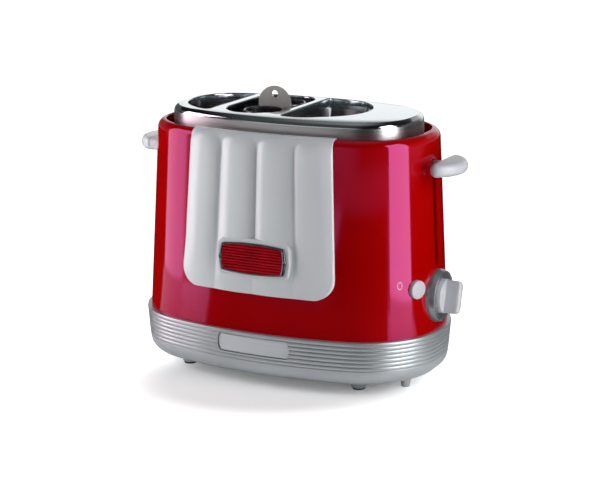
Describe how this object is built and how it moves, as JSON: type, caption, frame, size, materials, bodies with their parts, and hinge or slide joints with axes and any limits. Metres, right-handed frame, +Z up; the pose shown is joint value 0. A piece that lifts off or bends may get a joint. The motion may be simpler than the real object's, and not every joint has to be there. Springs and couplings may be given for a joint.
{
  "type": "hot dog toaster",
  "caption": "Oval retro hot dog toaster with half-round bun slots, lift-out sausage basket, push-down lever, timer dial and rear crumb tray.",
  "frame": {"origin": "on the surface that the feet stand on, under the middle of the oval housing", "axes": "+X towards the end with the lever and the dial, -Y towards the front with the white panel, +Z up"},
  "size_m": [0.277, 0.1569, 0.2203],
  "materials": {
    "silver_plastic": "satin silver-grey metallic plastic",
    "red_gloss": "high gloss red",
    "white_gloss": "high gloss white",
    "chrome": "bright chrome",
    "badge_red": "gloss red with fine level ribs",
    "nameplate_metal": "fine blasted",
    "deck_steel": "brushed wall and bright deck",
    "polished_steel": "polished",
    "sheet_steel": "plain sheet",
    "zinc_steel": "zinc plated",
    "screw_steel": "zinc plated",
    "wire_chrome": "drawn wire",
    "mica": "dull mica board",
    "heating_ribbon": "dull nickel-chromium ribbon",
    "rubber": "matt",
    "dark_plastic": "matt black",
    "terminal_white": "matt",
    "circuit_board": "satin",
    "coil_copper": "enamelled copper wire"
  },
  "bodies": {
    "housing": {"badge_frame": "chrome", "badge_plate": "badge_red", "base": "silver_plastic", "base_screws": "screw_steel", "bun_chute_left": "polished_steel", "bun_chute_right": "polished_steel", "bun_guard_left_inner": "wire_chrome", "bun_guard_left_outer": "wire_chrome", "bun_guard_right_inner": "wire_chrome", "bun_guard_right_outer": "wire_chrome", "cancel_switch": "dark_plastic", "carriage_spring": "zinc_steel", "chassis_plate_left": "sheet_steel", "chassis_plate_right": "sheet_steel", "control_board": "circuit_board", "cord_grommet": "rubber", "dial_bezel": "silver_plastic", "foot_pads": "rubber", "front_panel": "white_gloss", "guide_rod": "zinc_steel", "handle_screw": "screw_steel", "heating_ribbon_left_inner": "heating_ribbon", "heating_ribbon_left_outer": "heating_ribbon", "heating_ribbon_right_inner": "heating_ribbon", "heating_ribbon_right_outer": "heating_ribbon", "left_handle": "white_gloss", "magnet_coil": "coil_copper", "magnet_yoke": "zinc_steel", "mica_board_left_inner": "mica", "mica_board_left_outer": "mica", "mica_board_right_inner": "mica", "mica_board_right_outer": "mica", "microswitch": "dark_plastic", "nameplate": "nameplate_metal", "reflector_front": "sheet_steel", "reflector_rear": "sheet_steel", "shell": "red_gloss", "terminal_block": "terminal_white", "timer": "dark_plastic", "timer_nut": "zinc_steel", "top_cap": "deck_steel"},
    "carriage": {"carriage_beam": "zinc_steel", "basket_rest": "sheet_steel", "slider_block": "dark_plastic", "lever_arm": "zinc_steel", "lever": "white_gloss", "lever_screw": "screw_steel", "armature_plate": "zinc_steel", "bun_tray_left": "sheet_steel", "bun_tray_right": "sheet_steel"},
    "basket": {"lifting_tab": "polished_steel", "tube_clips": "polished_steel", "sausage_tube_front": "polished_steel", "sausage_tube_rear": "polished_steel"},
    "dial": {"dial_knob": "white_gloss", "dial_shaft": "zinc_steel"},
    "cancel_button": {"cancel_button": "white_gloss"},
    "crumb_tray": {"crumb_tray": "sheet_steel", "crumb_tray_front": "dark_plastic"}
  },
  "joints": [
    {"name": "carriage_slide", "type": "slide", "parent": "housing", "child": "carriage", "axis": [0, 0, 1], "range_m": [-0.07, 0], "stiffness_N_per_m": 80, "springref_m": 0.08, "deforming": ["carriage_spring"]},
    {"name": "basket_lift", "type": "slide", "parent": "carriage", "child": "basket", "axis": [0, 0, 1], "range_m": [0, 0.095]},
    {"name": "dial_turn", "type": "hinge", "parent": "housing", "child": "dial", "pos_m": [0.126, 0, 0.0686], "axis": [1, 0, 0], "range_deg": [-120, 120]},
    {"name": "button_press", "type": "slide", "parent": "housing", "child": "cancel_button", "axis": [0.9205, -0.3907, 0], "range_m": [-0.0024, 0], "stiffness_N_per_m": 400},
    {"name": "crumb_slide", "type": "slide", "parent": "housing", "child": "crumb_tray", "axis": [0, 1, 0], "range_m": [0, 0.12]}
  ]
}
